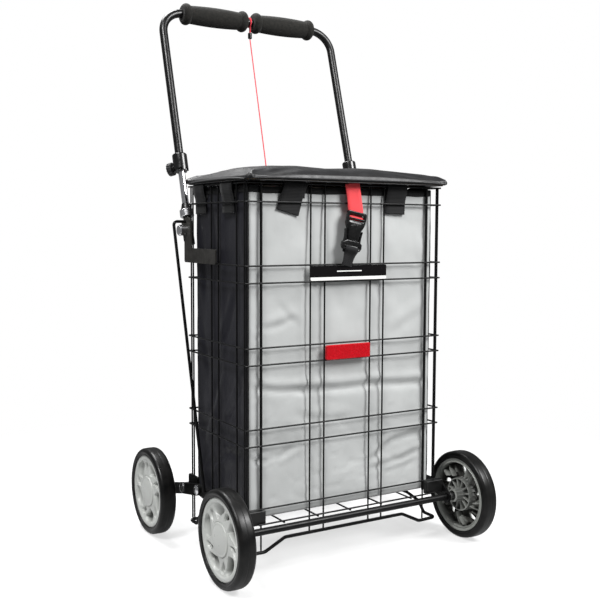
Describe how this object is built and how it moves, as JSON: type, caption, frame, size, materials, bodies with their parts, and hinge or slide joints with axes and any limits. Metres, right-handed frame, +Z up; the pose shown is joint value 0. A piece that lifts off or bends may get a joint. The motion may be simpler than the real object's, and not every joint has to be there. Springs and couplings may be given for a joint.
{
  "type": "shopping cart",
  "caption": "Four-wheeled wire shopping cart with a liner bag, a padded seat lid with a buckle strap, and a telescoping handle with foam grips.",
  "frame": {"origin": "on the floor, under the middle of the whole cart", "axes": "+Z up; the face with the strap and buckle looks to -Y and the handle stands at +Y; +X is to the right seen from the front face"},
  "size_m": [0.5322, 0.5005, 1.0297],
  "materials": {
    "wire": "gloss black powder coat",
    "frame_steel": "gloss black powder coat",
    "bracket_steel": "textured dark grey coat",
    "axle_steel": "plain zinc plated",
    "chrome": "polished",
    "bolt": "polished",
    "black_plastic": "satin moulded",
    "tyre": "smooth rubber",
    "hub_plastic": "light grey moulded",
    "foam": "matt closed-cell foam",
    "vinyl": "grained black vinyl",
    "board": "raw plywood",
    "bag_fabric": "light grey coated polyester front and base, black sides",
    "webbing_black": "ribbed tape",
    "webbing_red": "woven tape",
    "cord_red": "braided cord",
    "label": "gloss black",
    "reflector_red": "moulded prisms"
  },
  "bodies": {
    "frame": {"axle_spacers": "axle_steel", "bag_tabs": "webbing_black", "basket_strap": "webbing_black", "bottom_panel": "wire", "foot_frame": "frame_steel", "frame_bolts": "bolt", "front_axle": "axle_steel", "front_axle_tube": "frame_steel", "front_panel": "wire", "label_plate": "label", "left_corner_block": "black_plastic", "left_handle_bracket": "bracket_steel", "left_inner_tube": "chrome", "left_rear_plate": "frame_steel", "left_side_panel": "wire", "left_side_rail": "frame_steel", "left_stay_rod": "frame_steel", "rail_clips": "frame_steel", "rear_axle": "axle_steel", "rear_axle_tube": "frame_steel", "rear_panel": "wire", "red_cord": "cord_red", "reflector": "reflector_red", "right_corner_block": "black_plastic", "right_handle_bracket": "bracket_steel", "right_inner_tube": "chrome", "right_rear_plate": "frame_steel", "right_side_panel": "wire", "right_side_rail": "frame_steel", "right_stay_rod": "frame_steel", "shopping_bag": "bag_fabric", "tube_bushes": "black_plastic", "tube_rings": "chrome"},
    "lid": {"lid_board": "board", "seat_cushion": "vinyl", "lid_hinge_clips": "axle_steel"},
    "lid_strap_body": {"lid_strap": "webbing_red", "buckle_socket": "black_plastic"},
    "buckle_plug_body": {"buckle_plug": "black_plastic"},
    "handle": {"handle_tube": "frame_steel", "left_grip": "foam", "right_grip": "foam", "left_collar": "black_plastic", "right_collar": "black_plastic", "cord_loop": "cord_red", "cord_toggle": "black_plastic"},
    "left_knob_body": {"left_clamp_knob": "black_plastic"},
    "right_knob_body": {"right_clamp_knob": "black_plastic"},
    "front_left_wheel": {"front_left_tyre": "tyre", "front_left_hub": "hub_plastic", "front_left_hub_cap": "hub_plastic"},
    "front_right_wheel": {"front_right_tyre": "tyre", "front_right_hub": "hub_plastic", "front_right_hub_cap": "hub_plastic"},
    "rear_left_wheel": {"rear_left_tyre": "tyre", "rear_left_hub": "hub_plastic", "rear_left_hub_cap": "hub_plastic"},
    "rear_right_wheel": {"rear_right_tyre": "tyre", "rear_right_hub": "hub_plastic", "rear_right_hub_cap": "hub_plastic"}
  },
  "joints": [
    {"name": "front_left_wheel_spin", "type": "hinge", "parent": "frame", "child": "front_left_wheel", "pos_m": [-0.251, -0.1684, 0.082], "axis": [1, 0, 0], "continuous": true},
    {"name": "front_right_wheel_spin", "type": "hinge", "parent": "frame", "child": "front_right_wheel", "pos_m": [0.251, -0.1684, 0.082], "axis": [1, 0, 0], "continuous": true},
    {"name": "rear_left_wheel_spin", "type": "hinge", "parent": "frame", "child": "rear_left_wheel", "pos_m": [-0.251, 0.1485, 0.082], "axis": [1, 0, 0], "continuous": true},
    {"name": "rear_right_wheel_spin", "type": "hinge", "parent": "frame", "child": "rear_right_wheel", "pos_m": [0.251, 0.1485, 0.082], "axis": [1, 0, 0], "continuous": true},
    {"name": "handle_slide", "type": "slide", "parent": "frame", "child": "handle", "axis": [0, 0.2874, 0.9578], "range_m": [-0.055, 0.09], "deforming": ["red_cord"]},
    {"name": "left_knob_turn", "type": "hinge", "parent": "handle", "child": "left_knob_body", "pos_m": [-0.1936, 0.13697, 0.70163], "axis": [-0.6157, 0.7548, -0.2264], "range_deg": [-360, 0]},
    {"name": "right_knob_turn", "type": "hinge", "parent": "handle", "child": "right_knob_body", "pos_m": [0.1936, 0.13697, 0.70163], "axis": [0.6157, 0.7548, -0.2264], "range_deg": [-360, 0]},
    {"name": "lid_hinge", "type": "hinge", "parent": "frame", "child": "lid", "pos_m": [0, 0.0792, 0.6614], "axis": [-1, 0, 0], "range_deg": [0, 90]},
    {"name": "lid_strap_swing", "type": "hinge", "parent": "lid", "child": "lid_strap_body", "pos_m": [0, -0.1521, 0.656], "axis": [-1, 0, 0], "range_deg": [-45, 0]},
    {"name": "buckle_release", "type": "slide", "parent": "frame", "child": "buckle_plug_body", "axis": [-0.1994, 0, -0.9799], "range_m": [0, 0.018], "deforming": ["basket_strap"]}
  ],
  "couplings": [
    {"joint": "lid_strap_swing", "follows": "lid_hinge", "ratio": -0.5}
  ]
}
